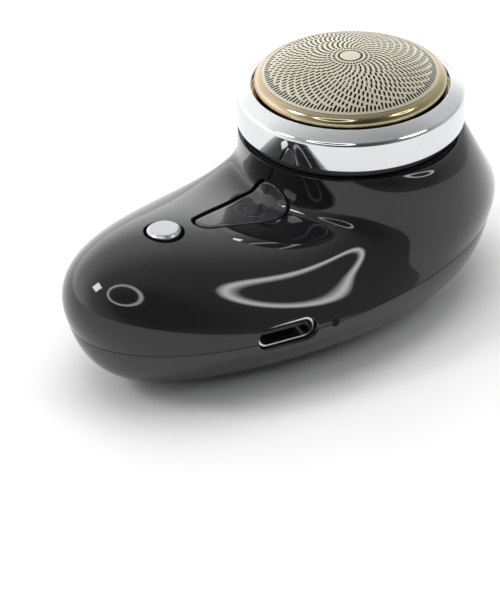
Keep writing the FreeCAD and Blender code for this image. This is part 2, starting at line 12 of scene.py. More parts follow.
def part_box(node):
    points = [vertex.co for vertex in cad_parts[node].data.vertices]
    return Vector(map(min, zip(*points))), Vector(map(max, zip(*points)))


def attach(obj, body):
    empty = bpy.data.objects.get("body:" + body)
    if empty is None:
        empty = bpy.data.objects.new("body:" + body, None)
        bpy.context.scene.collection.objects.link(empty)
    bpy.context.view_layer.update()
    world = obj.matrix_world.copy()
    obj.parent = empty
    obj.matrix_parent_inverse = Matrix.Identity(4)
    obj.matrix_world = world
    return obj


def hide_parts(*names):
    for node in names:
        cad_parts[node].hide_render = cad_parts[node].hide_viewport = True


# Pocket rotary shaver. Shapes are worked out in millimetres in the CAD's frame and made in metres:
# +X points at the shaving head, -Y is the charging side and +Z is up.
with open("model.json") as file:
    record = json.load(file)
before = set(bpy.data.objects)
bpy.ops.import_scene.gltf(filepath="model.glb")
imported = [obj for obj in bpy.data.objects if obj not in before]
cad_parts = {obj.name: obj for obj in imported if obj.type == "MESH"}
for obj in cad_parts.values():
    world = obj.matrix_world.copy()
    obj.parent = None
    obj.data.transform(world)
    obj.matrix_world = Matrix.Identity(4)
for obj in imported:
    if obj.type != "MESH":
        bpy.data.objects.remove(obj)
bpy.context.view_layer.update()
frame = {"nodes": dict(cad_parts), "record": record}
MM = 0.001


def limits(node):
    """Lowest and highest corner of a CAD node, in millimetres."""
    low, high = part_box(node)
    return Vector(low) / MM, Vector(high) / MM


# ---- driving dimensions ----
ring_low, ring_high = limits("head_ring")
HEAD_X = (ring_low.x + ring_high.x) / 2
RING_R = (ring_high.x - ring_low.x) / 2
RING_Z = ring_low.z
RIM_Z = ring_high.z
RIM_R = 14.7
SPIGOT_RISE = 2.8           # how far the spigot stands above the lip
LIP_Z = limits("top_shell")[1].z - SPIGOT_RISE
LIP_R = 16.9
LIP_W = 1.3
DECK_Z = 26.0
SPIGOT_R = (11.8, 13.2)     # inside and outside
SHAFT_HOLE_R = 3.5
SEAM_Z = 11.1
SEAM_GAP = 0.12
WALL = 1.6
FOIL_TOP = limits("foil")[1].z
FOIL_R = 13.2
FOIL_RISE = 2.8
FRAME_R = 14.35
cap_low, cap_high = limits("button_cap")
BUTTON_X = (cap_low.x + cap_high.x) / 2
BUTTON_R = 2.5
BUTTON_HOLE_R = 3.0
BUTTON_FOOT = 22.0
BUTTON_TOP = cap_high.z
LINE_Y = (cap_low.y + cap_high.y) / 2      # the button and the window lie on this line
NECK_FOOT = -3.4            # x where the deck turns up into the neck
WINDOW_START = -9.0         # x that distances along the window are counted from
WINDOW_TAIL = (-6.6, -0.8, 2.05)      # distance from WINDOW_START along the skin, across, radius
WINDOW_HEAD = (4.7, 0.0, 4.6)
LENS_EDGE = 0.22
WINDOW_GROOVE = 0.55
WINDOW_SINK = 0.08
WINDOW_T = 0.8
ICON_X = 2.6                # middle of the power symbol, as a distance along the window
PORT = Vector((-14.7, -19.0, 11.3))
PORT_TURN = radians(-15.0)
PORT_W, PORT_H = 8.94, 3.26
PORT_GAP = 0.22
PORT_DEPTH = 8.4
PORT_BOTTOM = 7.3
LED_HOLE = Vector((-7.3, -20.9, 11.1))
LED_TURN = radians(-6.0)
LED_HOLE_R = 0.6
SCREWS = ((-30.5, 0.0), (1.1, 12.5), (1.1, -12.5), (29.0, 0.0))
SCREW_HOLE_R = 1.9

# Control rings of the body, from the head's axis: tail x, nose x, half width, egg skew, and the
# heights at the tail, the side and the nose.
SEAM_RING = (-51.0, 23.7, 21.3, 0.04, SEAM_Z, SEAM_Z, SEAM_Z)
UPPER_RINGS = (
    (-16.9, 16.9, 16.9, 0.00, 27.4, 27.4, 27.4),
    (-15.6, 17.5, 19.3, -0.05, 21.4, 26.2, 24.7),
    (-16.0, 20.4, 19.3, 0.15, 18.8, 18.4, 19.8),
    (-41.0, 23.8, 19.3, 0.20, 26.9, 13.6, 16.6),
    (-54.1, 24.8, 20.8, 0.09, 19.3, 12.4, 13.7),
    SEAM_RING,
)
LOWER_RINGS = (
    SEAM_RING,
    (-50.0, 19.8, 20.7, 0.22, 5.0, 5.0, 5.0),
    (-44.6, 16.9, 13.0, 0.23, 0.3, 0.3, 0.3),
    (-35.5, 11.5, 8.5, 0.10, 0.0, 0.0, 0.0),
)
RAY_REACH = 9.0             # longest drop onto the skin
COLUMNS = 320
ROWS = 180


# ---- meshes ----
def new_object(name, points, faces, smooth_angle=35.0):
    """Mesh object from points in millimetres, with edges sharper than smooth_angle kept crisp."""
    mesh = bpy.data.meshes.new(name)
    mesh.from_pydata([tuple(p) for p in np.asarray(points, float) * MM], [], faces)
    mesh.validate()
    piece = bpy.data.objects.new(name, mesh)
    bpy.context.scene.collection.objects.link(piece)
    smooth(piece, smooth_angle)
    return piece


def smooth(piece, smooth_angle):
    """Shades the piece smooth, with edges sharper than smooth_angle kept crisp."""
    piece.data.shade_smooth()
    piece.data.set_sharp_from_angle(angle=radians(smooth_angle))


def grid_faces(rows, columns, closed_rows=False):
    """Quads of a grid whose columns run round in a ring."""
    faces = []
    for i in range(rows if closed_rows else rows - 1):
        below = (i + 1) % rows
        for j in range(columns):
            right = (j + 1) % columns
            faces.append((i * columns + j, i * columns + right,
                          below * columns + right, below * columns + j))
    return faces


def capped_faces(rows, columns):
    """Grid whose first and last rows are closed with flat faces."""
    faces = grid_faces(rows, columns)
    faces.append(tuple(reversed(range(columns))))
    faces.append(tuple((rows - 1) * columns + j for j in range(columns)))
    return faces


def outward(piece):
    """Turns every face of a closed mesh outwards."""
    mesh = piece.data
    volume = 0.0
    for face in mesh.polygons:
        volume += face.center.dot(face.normal) * face.area
    if volume < 0:
        mesh.flip_normals()
    return piece


def lathe(name, outline, x=HEAD_X, y=0.0, columns=192, closed=True):
    """Turns a (radius, z) outline about a vertical axis. An open outline starts and ends on small
    flat caps."""
    turns = np.linspace(0, 2 * pi, columns, endpoint=False)
    points = [(x + r * cos(a), y + r * sin(a), z) for r, z in outline for a in turns]
    faces = grid_faces(len(outline), columns, True) if closed else capped_faces(len(outline), columns)
    return outward(new_object(name, points, faces))


def arc(centre, radius, start, end, steps=8):
    """(radius, z) points on an arc, angles in degrees."""
    turns = [radians(start + (end - start) * i / steps) for i in range(steps + 1)]
    return [(centre[0] + radius * cos(a), centre[1] + radius * sin(a)) for a in turns]


def rounded(outline, radius, steps=4):
    """Rounds the inner corners of an open (radius, z) outline, as far as its sides allow."""
    result = [outline[0]]
    for i in range(1, len(outline) - 1):
        corner = Vector(outline[i])
        back = Vector(outline[i - 1]) - corner
        ahead = Vector(outline[i + 1]) - corner
        reach = min(radius, back.length * 0.45, ahead.length * 0.45)
        first, last = corner + back.normalized() * reach, corner + ahead.normalized() * reach
        for k in range(steps + 1):
            t = k / steps
            result.append(tuple(first * (1 - t) ** 2 + corner * 2 * t * (1 - t) + last * t * t))
    return result + [outline[-1]]


# ---- body surfaces ----
def ring_points(ring, turns):
    """Points of one control ring, at each angle of turns."""
    tail, nose, width, skew, z_tail, z_side, z_nose = ring
    z_wave = ((z_tail + z_nose) / 2 - z_side) / 2
    x = HEAD_X + (tail + nose) / 2 + (nose - tail) / 2 * np.cos(turns)
    y = width * np.sin(turns) * (1 + skew * np.cos(turns))
    z = z_side + z_wave + (z_nose - z_tail) / 2 * np.cos(turns) + z_wave * np.cos(2 * turns)
    return np.stack([x, y, z], -1)


def spline_weights(count, across):
    """Weights of count control rings in a clamped cubic spline, at each value of across, 0 to 1."""
    knots = np.concatenate([[0.0] * 3, np.linspace(0, 1, count - 2), [1.0] * 3])
    t = np.clip(across, 0, 1 - 1e-9)[..., None]
    weights = ((knots[:-1] <= t) & (t < knots[1:])).astype(float)
    for degree in range(1, 4):
        spans = len(knots) - 1 - degree
        rise = knots[degree:degree + spans] - knots[:spans]
        fall = knots[degree + 1:degree + 1 + spans] - knots[1:1 + spans]
        up = np.divide(t - knots[:spans], rise, out=np.zeros_like(t - knots[:spans]), where=rise > 0)
        down = np.divide(knots[degree + 1:degree + 1 + spans] - t, fall,
                         out=np.zeros_like(t - knots[:spans]), where=fall > 0)
        weights = up * weights[..., :-1] + down * weights[..., 1:]
    return weights


def body_points(rings, across, turns):
    """Surface points: across is (rows, columns), one value for each point."""
    nets = np.stack([ring_points(ring, turns) for ring in rings], 1)
    return np.einsum("ijk,jkd->ijd", spline_weights(len(rings), across), nets)


def body_patch(rings, start_z, end_z, rows, turns):
    """Rows of points from height start_z to height end_z, both measured near the patch's two ends."""
    fine = np.linspace(0, 1, 801)
    quarter = len(fine) // 4
    heights = body_points(rings, np.repeat(fine[:, None], len(turns), 1), turns)[..., 2]
    first = np.zeros(len(turns))
    last = np.ones(len(turns))
    for j in range(len(turns)):
        if start_z is not None:
            first[j] = np.interp(-start_z, -heights[:quarter, j], fine[:quarter])
        if end_z is not None:
            last[j] = np.interp(-end_z, -heights[3 * quarter:, j], fine[3 * quarter:])
    steps = np.linspace(0, 1, rows)[:, None]
    return body_points(rings, first + (last - first) * steps, turns)


def grid_normals(points):
    """Unit normals of a grid of points whose columns run round in a ring."""
    along = np.gradient(points, axis=0)
    around = np.roll(points, -1, axis=1) - np.roll(points, 1, axis=1)
    normals = np.cross(along, around)
    normals /= np.linalg.norm(normals, axis=-1, keepdims=True)
    return normals


TURNS = np.linspace(0, 2 * pi, COLUMNS, endpoint=False)


def level_rows(outline, x=HEAD_X):
    """Grid rows of a (radius, z) outline about the head's axis, on the body's columns."""
    return [np.stack([x + r * np.cos(TURNS), r * np.sin(TURNS), np.full(COLUMNS, z)], -1)
            for r, z in outline]


def stacked(parts):
    """Joins grids of rows into one array of points."""
    return np.concatenate([np.asarray(part).reshape(-1, 3) for part in parts])


BASE_SHARES = (0.8, 0.55, 0.3, 0.05)      # rings across the flat base


def towards_middle(row, shares):
    """Copies of a flat row, shrunk towards its own middle."""
    middle = row.mean(axis=0)
    return [middle + (row - middle) * share for share in shares]


upper_skin = body_patch(UPPER_RINGS, None, None, ROWS, TURNS)
lower_skin = body_patch(LOWER_RINGS, None, None, ROWS // 2, TURNS)
lower_skin = np.concatenate([lower_skin, towards_middle(lower_skin[-1], BASE_SHARES)])


def skin_tree():
    """Search tree of the whole outside surface, with its points, faces and normals."""
    points, faces, normals = [], [], []
    for skin in (upper_skin, lower_skin):
        offset = len(points)
        points += [Vector(p) for p in skin.reshape(-1, 3)]
        normals += [Vector(n) for n in grid_normals(skin).reshape(-1, 3)]
        faces += [tuple(offset + k for k in face) for face in grid_faces(len(skin), COLUMNS)]
    return BVHTree.FromPolygons(points, faces), points, faces, normals


SKIN, skin_points, skin_faces, skin_normals = skin_tree()


def skin_normal(place, index):
    """Smooth outside normal at a place on a face of the skin."""
    corners = skin_faces[index]
    weights = poly_3d_calc([skin_points[k] for k in corners], place)
    total = Vector((0, 0, 0))
    for weight, k in zip(weights, corners):
        total += skin_normals[k] * weight
    return total.normalized()


ON_SKIN = 0.01              # farthest that a point of the outside may lie from the skin
FACES_OUT = 0.8             # least cosine between a face of the outside and the skin


def polish(piece):
    """Gives every face that lies on the body's outside the exact normals of the smooth surface."""
    mesh = piece.data
    on_skin = {}
    for vertex in mesh.vertices:
        place, _, index, _ = SKIN.find_nearest(vertex.co / MM, ON_SKIN)
        if index is not None:
            on_skin[vertex.index] = skin_normal(place, index)
    normals = [corner.vector.copy() for corner in mesh.corner_normals]
    for face in mesh.polygons:
        if all(k in on_skin and on_skin[k].dot(face.normal) > FACES_OUT for k in face.vertices):
            for loop in face.loop_indices:
                normals[loop] = on_skin[mesh.loops[loop].vertex_index]
    mesh.normals_split_custom_set(normals)
    return piece


# ---- holes ----
TOOL_SHARES = (0.02, 0.3, 0.55, 0.8, 1.0)      # rings across a tool's two ends
TOOL_FLARE = 0.25                              # how far a tool spreads above the skin


def circle_outline(radius, count=64):
    """Circle that grows outwards. It is turned a little, so that no point falls on a grid line."""
    turns = np.linspace(0, 2 * pi, count, endpoint=False) + 0.3 * pi / count
    return lambda grow: [((radius + grow) * cos(a), (radius + grow) * sin(a)) for a in turns]


def slot_outline(width, height, count=24):
    """Slot with round ends, width by height over all."""
    half = (width - height) / 2
    right = np.linspace(-pi / 2, pi / 2, count)

    def outline(grow):
        r = height / 2 + grow
        points = [(half + r * cos(a), r * sin(a)) for a in right]
        return points + [(-half + r * cos(a + pi), r * sin(a + pi)) for a in right]
    return outline


def drop_outline(count=40):
    """Two circles and their outer tangents, the wide one towards the head."""
    (u0, v0, r0), (u1, v1, r1) = WINDOW_TAIL, WINDOW_HEAD
    axis = Vector((u1 - u0, v1 - v0))
    turn = np.arctan2(axis.y, axis.x)
    lean = np.arcsin((r1 - r0) / axis.length)
    wide = np.linspace(-pi / 2 - lean, pi / 2 + lean, count) + turn
    narrow = np.linspace(pi / 2 + lean, 3 * pi / 2 - lean, count // 2) + turn
    side = np.linspace(0, 1, count // 2 + 2)[1:-1]

    def outline(grow):
        head = [(u1 + (r1 + grow) * cos(a), v1 + (r1 + grow) * sin(a)) for a in wide]
        tail = [(u0 + (r0 + grow) * cos(a), v0 + (r0 + grow) * sin(a)) for a in narrow]
        there = [tuple(Vector(head[-1]).lerp(Vector(tail[0]), t)) for t in side]
        back = [tuple(Vector(tail[-1]).lerp(Vector(head[0]), t)) for t in side]
        return head + there + tail + back
    return outline


def facing(origin, along, up):
    """Matrix of a hole: local x along, local y up, local z outwards."""
    along, up = Vector(along).normalized(), Vector(up).normalized()
    out = along.cross(up)
    matrix = Matrix((along, up, out)).transposed().to_4x4()
    matrix.translation = Vector(origin)
    return matrix


def straight_in(place):
    """Way onto the skin for flat local points: dropped along local -z."""
    out = place.to_3x3() @ Vector((0, 0, 1))

    def locate(u, v, depth):
        start = place @ Vector((u, v, 6.0))
        hit = SKIN.ray_cast(start, -out, RAY_REACH)[0] or SKIN.find_nearest(start)[0]
        return hit - out * depth
    return locate


def up_the_neck():
    """Way onto the skin for the window: u is the distance along the deck and then up the neck, from x
    WINDOW_START, and v is the distance across. Depth is measured square to the skin."""
    slices = {}
    deck_steps = 60
    above_deck = 25.0

    def slice_at(v):
        points = []
        for x in np.linspace(WINDOW_START - 10, NECK_FOOT, deck_steps):
            points.append(SKIN.ray_cast(Vector((x, v, above_deck)), Vector((0, 0, -1)), RAY_REACH)[0])
        level = points[-1].z
        while level < DECK_Z:
            level += 0.2
            hit = SKIN.ray_cast(Vector((NECK_FOOT - 4, v, level)), Vector((1, 0, 0)), RAY_REACH)[0]
            if hit and hit.x > points[-1].x - 1:
                points.append(hit)
        steps = [0.0] + [(points[i + 1] - points[i]).length for i in range(len(points) - 1)]
        lengths = np.cumsum(steps)
        xs = np.array([p.x for p in points])
        start = np.interp(WINDOW_START, xs[:deck_steps], lengths[:deck_steps])
        return lengths - start, points

    def locate(u, v, depth):
        key = round(v * 20)
        if key not in slices:
            slices[key] = slice_at(key / 20 + LINE_Y)
        lengths, points = slices[key]
        x = np.interp(u, lengths, [p.x for p in points])
        z = np.interp(u, lengths, [p.z for p in points])
        place, _, index, _ = SKIN.find_nearest(Vector((x, v + LINE_Y, z)))
        return place - skin_normal(place, index) * depth
    return locate


def shrunk(flat, share):
    """Flat points drawn in towards their own middle."""
    middle = Vector(np.mean(flat, axis=0))
    return [tuple(middle + (Vector(p) - middle) * share) for p in flat]


def hole_tool(outline, locate, depth, rim, height=0.6):
    """Points and faces of a cutting tool with a rounded rim, from height above the skin to depth below."""
    def row(flat, down):
        return [locate(u, v, down) for u, v in flat]
    top, edge = outline(rim + TOOL_FLARE), outline(0.0)
    rows = [row(shrunk(top, share), -height) for share in TOOL_SHARES]
    rows.append(row(top, -0.15))
    for angle in (30, 45, 60, 75, 90):
        share = radians(angle)
        rows.append(row(outline(rim * (1 - sin(share))), rim * (1 - cos(share))))
    rows += [row(shrunk(edge, share), depth) for share in reversed(TOOL_SHARES)]
    points = [point for line in rows for point in line]
    return points, capped_faces(len(rows), len(edge))


def cut(piece, tools):
    """Cuts every tool out of the piece, and closes any hairline slit that the cut leaves."""
    cutters = []
    for number, (points, faces) in enumerate(tools):
        tool = outward(new_object("hole_tool_%d" % number, points, faces))
        modifier = piece.modifiers.new("cut", "BOOLEAN")
        modifier.operation = "DIFFERENCE"
        modifier.solver = "EXACT"
        modifier.object = tool
        cutters.append(tool)
    graph = bpy.context.evaluated_depsgraph_get()
    graph.update()
    cut_mesh = bpy.data.meshes.new_from_object(piece.evaluated_get(graph))
    edges = bmesh.new()
    edges.from_mesh(cut_mesh)
    slits = [edge for edge in edges.edges if len(edge.link_faces) == 1]
    bmesh.ops.holes_fill(edges, edges=slits, sides=4)
    edges.to_mesh(cut_mesh)
    edges.free()
    piece.modifiers.clear()
    piece.data = cut_mesh
    for tool in cutters:
        bpy.data.objects.remove(tool)
    smooth(piece, 32.0)
    return piece


WINDOW_WAY = up_the_neck()
PORT_FACE = facing(PORT, (cos(PORT_TURN), sin(PORT_TURN), 0), (0, 0, 1))
LED_FACE = facing(LED_HOLE, (cos(LED_TURN), sin(LED_TURN), 0), (0, 0, 1))
PORT_OUTLINE = slot_outline(PORT_W + 2 * PORT_GAP, PORT_H + 2 * PORT_GAP)
side_tools = [
    hole_tool(PORT_OUTLINE, straight_in(PORT_FACE), PORT_DEPTH, 0.15),
    hole_tool(circle_outline(LED_HOLE_R, 32), straight_in(LED_FACE), 4.0, 0.1),
]


# ---- casings ----
def top_casing():
    """One closed grid: outside, seam edge, inside, ceiling, shaft hole, spigot, deck and lip."""
    outside = body_patch(UPPER_RINGS, LIP_Z - 0.15, SEAM_Z + SEAM_GAP / 2, ROWS, TURNS)
    inside = outside - grid_normals(outside) * WALL
    inside[..., 2] = np.clip(inside[..., 2], SEAM_Z + SEAM_GAP / 2, DECK_Z - WALL)
    inside[-1, :, 2] = SEAM_Z + SEAM_GAP / 2
    inner_r, outer_r = SPIGOT_R
    spigot_z = LIP_Z + SPIGOT_RISE
    neck = [(SHAFT_HOLE_R, DECK_Z - WALL), (SHAFT_HOLE_R, DECK_Z), (inner_r, DECK_Z), (inner_r, spigot_z),
            (outer_r, spigot_z), (outer_r, DECK_Z), (LIP_R - LIP_W, DECK_Z), (LIP_R - LIP_W, LIP_Z)]
    rows = list(outside) + list(inside[::-1]) + level_rows(rounded(neck, 0.15))
    rows += level_rows([(LIP_R - 0.2, LIP_Z), (LIP_R - 0.05, LIP_Z - 0.04)])
    piece = outward(new_object("top_casing", stacked(rows), grid_faces(len(rows), COLUMNS, True)))
    above = straight_in(facing((BUTTON_X, LINE_Y, 23.5), (1, 0, 0), (0, 1, 0)))
    tools = [hole_tool(circle_outline(BUTTON_HOLE_R), above, 5.0, 0.12),
             hole_tool(drop_outline(), WINDOW_WAY, WINDOW_SINK + WINDOW_T + 0.05, 0.2)]
    return polish(cut(piece, tools + side_tools))


def bottom_casing():
    """One closed grid: inside floor, inside wall, seam edge, outside and base."""
    outside = body_patch(LOWER_RINGS, SEAM_Z - SEAM_GAP / 2, None, ROWS // 2, TURNS)
    inside = outside - grid_normals(outside) * WALL
    inside[..., 2] = np.clip(inside[..., 2], WALL, SEAM_Z - SEAM_GAP / 2)
    inside[0, :, 2] = SEAM_Z - SEAM_GAP / 2
    rows = towards_middle(inside[-1], BASE_SHARES)[::-1] + list(inside[::-1]) + list(outside)
    rows += towards_middle(outside[-1], BASE_SHARES)
    piece = outward(new_object("bottom_casing", stacked(rows), capped_faces(len(rows), COLUMNS)))
    tools = []
    for x, y in SCREWS:
        below = straight_in(facing((x, y, 0), (1, 0, 0), (0, -1, 0)))
        tools.append(hole_tool(circle_outline(SCREW_HOLE_R, 48), below, 4.5, 0.12))
    return polish(cut(piece, tools + side_tools))


# ---- window ----
def lens():
    """Plate that follows the skin inside the groove, with a rounded edge."""
    outline = drop_outline()

    def row(grow, share, sink):
        return [WINDOW_WAY(u, v, sink) for u, v in shrunk(outline(grow - WINDOW_GROOVE), share)]
    rows = [row(-LENS_EDGE, share, WINDOW_SINK) for share in (0.02, 0.2, 0.4, 0.6, 0.8, 0.9, 1.0)]
    for angle in (30, 60, 90):
        share = radians(angle)
        rows.append(row(-LENS_EDGE * (1 - sin(share)), 1.0, WINDOW_SINK + LENS_EDGE * (1 - cos(share))))
    rows += [row(0.0, share, WINDOW_SINK + WINDOW_T) for share in (1.0, 0.7, 0.35, 0.02)]
    points = [point for line in rows for point in line]
    return outward(new_object("lens", points, capped_faces(len(rows), len(rows[0]))))


def ribbon(name, path, width, closed):
    """Thin printed line on the lens, along a path of flat points."""
    count = len(path)
    path = [Vector(p) for p in path]
    sides = [[], []]
    for i, point in enumerate(path):
        ahead = path[(i + 1) % count if closed else min(i + 1, count - 1)]
        ahead = (ahead - path[i - 1 if closed else max(i - 1, 0)]).normalized()
        across = Vector((-ahead.y, ahead.x)) * width / 2
        sides[0].append(point + across)
        sides[1].append(point - across)
    rows = [[WINDOW_WAY(u, v, WINDOW_SINK + sink) for u, v in side] for side, sink in
            ((sides[0], -0.015), (sides[0], 0.02), (sides[1], 0.02), (sides[1], -0.015))]
    faces = grid_faces(4, count, True)
    if not closed:
        faces = [face for face in faces if not {0, count - 1} <= {k % count for k in face}]
        faces.append(tuple(count * i for i in range(4)))
        faces.append(tuple(count * i + count - 1 for i in (3, 2, 1, 0)))
    return outward(new_object(name, [point for row in rows for point in row], faces))


def power_icon():
    """Generic power symbol inside a thin circle."""
    middle = Vector((ICON_X, 0.0))

    def ring(radius, start, end, steps):
        turns = [radians(start + (end - start) * i / steps) for i in range(steps + 1)]
        return [middle + Vector((cos(a), sin(a))) * radius for a in turns]
    bar = [middle + Vector((0.25 + 0.2 * i, 0.0)) for i in range(5)]
    return [ribbon("icon_circle", ring(2.25, 0, 355, 71), 0.16, True),
            ribbon("icon_ring", ring(0.85, 40, 320, 40), 0.17, False),
            ribbon("icon_bar", bar, 0.17, False)]


# ---- foil ----
FOIL_BALL = (FOIL_R ** 2 + FOIL_RISE ** 2) / (2 * FOIL_RISE)
FOIL_T = 0.12
FOIL_ARMS = 33
FOIL_BLANK_R = 1.7          # first ring of slots
FOIL_INNER_R = 11.5         # last of the short slots
FOIL_SLOTS_R = 12.75        # outer end of the rim's slots
SLOT_W = 0.31
SLOT_LEAN = 18.0            # degrees from the radial direction
RIM_LEAN = 13.0
RIM_SLOT_STARTS = (11.55, 11.8, 11.97, 12.08)
FOIL_START = radians(30.0)
SLOT_LENGTHS = ((1.7, 4.0, 8.5, 10.3, 11.4), (0.34, 0.64, 0.92, 0.82, 0.66))    # by distance from the axis
SLOT_BEVEL = 0.06
FOIL_EDGE_POINTS = 240


def dome_z(r):
    """Height of the foil's top at a distance from the axis."""
    return FOIL_TOP - FOIL_BALL + sqrt(FOIL_BALL ** 2 - r * r)


def slot_corners(r, turn, length, lean):
    """Rounded slot about a polar place, its long side leaning from the radial direction."""
    direction = turn - radians(lean)
    long_way = Vector((cos(direction), sin(direction)))
    short_way = Vector((-long_way.y, long_way.x))
    middle = Vector((r * cos(turn), r * sin(turn)))
    half_l, half_w, bevel = length / 2, SLOT_W / 2, SLOT_BEVEL
    corners = [(half_l, half_w - bevel), (half_l - bevel, half_w), (bevel - half_l, half_w),
               (-half_l, half_w - bevel), (-half_l, bevel - half_w), (bevel - half_l, -half_w),
               (half_l - bevel, -half_w), (half_l, bevel - half_w)]
    return [middle + long_way * a + short_way * b for a, b in corners]


def foil_slots():
    """Slots on spiral arms: each next slot is one ring further out and one step further round."""
    slots = []
    r, turn = FOIL_BLANK_R, FOIL_START
    while r < FOIL_INNER_R:
        length = np.interp(r, *SLOT_LENGTHS)
        for arm in range(FOIL_ARMS):
            slots.append(slot_corners(r, turn + 2 * pi * arm / FOIL_ARMS, length, SLOT_LEAN))
        turn += (0.46 + 0.01 * r) / r
        r += 0.80 - 0.044 * r
    step = 2 * pi / FOIL_ARMS / len(RIM_SLOT_STARTS)
    for arm in range(FOIL_ARMS):
        for i, start in enumerate(RIM_SLOT_STARTS):
            place = turn + 2 * pi * arm / FOIL_ARMS + step * i
            slots.append(slot_corners((start + FOIL_SLOTS_R) / 2, place, FOIL_SLOTS_R - start, RIM_LEAN))
    return slots


def flat_circle(radius, count):
    """Flat points evenly round a circle."""
    return [Vector((cos(2 * pi * i / count), sin(2 * pi * i / count))) * radius for i in range(count)]


def foil_sheet():
    """Slotted dome: a flat triangulation with the slots left out, raised and given its thickness."""
    flat = flat_circle(FOIL_R - 0.02, FOIL_EDGE_POINTS)
    rims = [list(range(FOIL_EDGE_POINTS))]
    for slot in foil_slots():
        rims.append(list(range(len(flat), len(flat) + len(slot))))
        flat += slot
    for r in (0.0, 0.5, 1.0, 1.4):
        flat += flat_circle(r, max(1, int(r * 16)))
    result = geometry.delaunay_2d_cdt(flat, [], rims, 1, 1e-5, True)
    places, triangles, owners = result[0], result[2], result[5]
    kept = [tri for tri, owner in zip(triangles, owners) if list(owner) == [0]]
    tops, bottoms = [], []
    for place in places:
        up = Vector((place.x, place.y, dome_z(place.length) - FOIL_TOP + FOIL_BALL)) / FOIL_BALL
        top = Vector((HEAD_X + place.x, place.y, dome_z(place.length)))
        tops.append(top)
        bottoms.append(top - up * FOIL_T)
    total = len(places)
    faces = [tuple(tri) for tri in kept] + [tuple(total + k for k in reversed(tri)) for tri in kept]
    sides = [(tri[i], tri[(i + 1) % 3]) for tri in kept for i in range(3)]
    shared = set(sides)
    faces += [(b, a, total + a, total + b) for a, b in sides if (b, a) not in shared]
    return outward(new_object("foil_sheet", tops + bottoms, faces, 30.0))


# ---- head and button ----
def chrome_ring():
    """Upright wall, rounded shoulder and slope up to the rim that the foil unit sits in."""
    bore, shelf_z, shoulder_z = 15.95, 33.6, 32.75
    foot, shoulder, lip = 0.15, 0.9, 0.22
    outline = [(bore, RING_Z), (RING_R - foot, RING_Z)]
    outline += arc((RING_R - foot, RING_Z + foot), foot, -60, 0, 3)
    outline += arc((RING_R - shoulder, shoulder_z), shoulder, 0, 68, 14)
    outline += arc((RIM_R + lip, RIM_Z - lip), lip, 68, 180, 8)
    outline += [(RIM_R, shelf_z), (bore, shelf_z)]
    return lathe("chrome_ring", outline, columns=256)


def foil_rim():
    """Drawn edge of the foil: from its flange, up the wall and over to the slotted dome."""
    flange_r, foot_z, flange_z, bend, inner_r = 15.6, 32.6, 33.4, 1.25, 12.8
    outline = [(flange_r, foot_z), (flange_r, flange_z), (FRAME_R + 0.1, flange_z), (FRAME_R, 33.5)]
    outline += arc((FRAME_R - bend, 34.9), bend, 0, 66, 14)
    outline += [(FOIL_R + 0.1, dome_z(FOIL_R) + 0.01), (FOIL_R, dome_z(FOIL_R) - 0.02)]
    outline += [(FOIL_R - 0.02, dome_z(FOIL_R) - 0.25), (inner_r, dome_z(FOIL_R) - 0.3)]
    outline.append((inner_r, foot_z))
    return lathe("foil_rim", outline, columns=256)


def button_face():
    """Push button with a flat top and a polished bevel."""
    outline = [(0.02, BUTTON_FOOT), (BUTTON_R, BUTTON_FOOT), (BUTTON_R, BUTTON_TOP - 0.45)]
    outline += arc((BUTTON_R - 0.15, BUTTON_TOP - 0.4), 0.15, 0, 50, 4)
    outline += arc((BUTTON_R - 0.5, BUTTON_TOP - 0.12), 0.12, 50, 90, 4)
    outline += [(BUTTON_R - 1.2, BUTTON_TOP), (0.02, BUTTON_TOP)]
    return lathe("button_face", outline, BUTTON_X, LINE_Y, 96, closed=False)


def bar_mesh(points, faces, place, low, high, bevel):
    """Adds a bar with bevelled long edges, its length along local z."""
    start = len(points)
    (u0, v0, w0), (u1, v1, w1) = low, high
    outline = [(u0 + bevel, v0), (u1 - bevel, v0), (u1, v0 + bevel), (u1, v1 - bevel),
               (u1 - bevel, v1), (u0 + bevel, v1), (u0, v1 - bevel), (u0, v0 + bevel)]
    for inset, w in ((0, w0), (0, w1 - bevel), (bevel, w1)):
        middle = Vector(((u0 + u1) / 2, (v0 + v1) / 2))
        shrink = Vector(((u1 - u0 - 2 * inset) / (u1 - u0), (v1 - v0 - 2 * inset) / (v1 - v0)))
        for u, v in outline:
            flat = middle + Vector(((u - middle.x) * shrink.x, (v - middle.y) * shrink.y))
            points.append(place @ Vector((flat.x, flat.y, w)))
    faces += [tuple(start + k for k in face) for face in capped_faces(3, 8)]


def port_tongue():
    """Moulded blade of the inlet, and the gold contacts on both its faces."""
    half_w, half_t, blade_end, contact_start, contact_end = 3.35, 0.32, -2.1, -6.3, -2.5
    contacts, pitch, half_contact, contact_t = 12, 0.5, 0.13, 0.02
    blade_points, blade_faces = [], []
    bar_mesh(blade_points, blade_faces, PORT_FACE, (-half_w, -half_t, -PORT_BOTTOM),
             (half_w, half_t, blade_end), 0.12)
    blade = outward(new_object("port_blade", blade_points, blade_faces))
    points, faces = [], []
    for i in range(contacts):
        u = (i - (contacts - 1) / 2) * pitch
        for v in (-0.335, 0.315):
            bar_mesh(points, faces, PORT_FACE, (u - half_contact, v, contact_start),
                     (u + half_contact, v + contact_t, contact_end), 0.004)
    return blade, outward(new_object("port_contacts", points, faces))


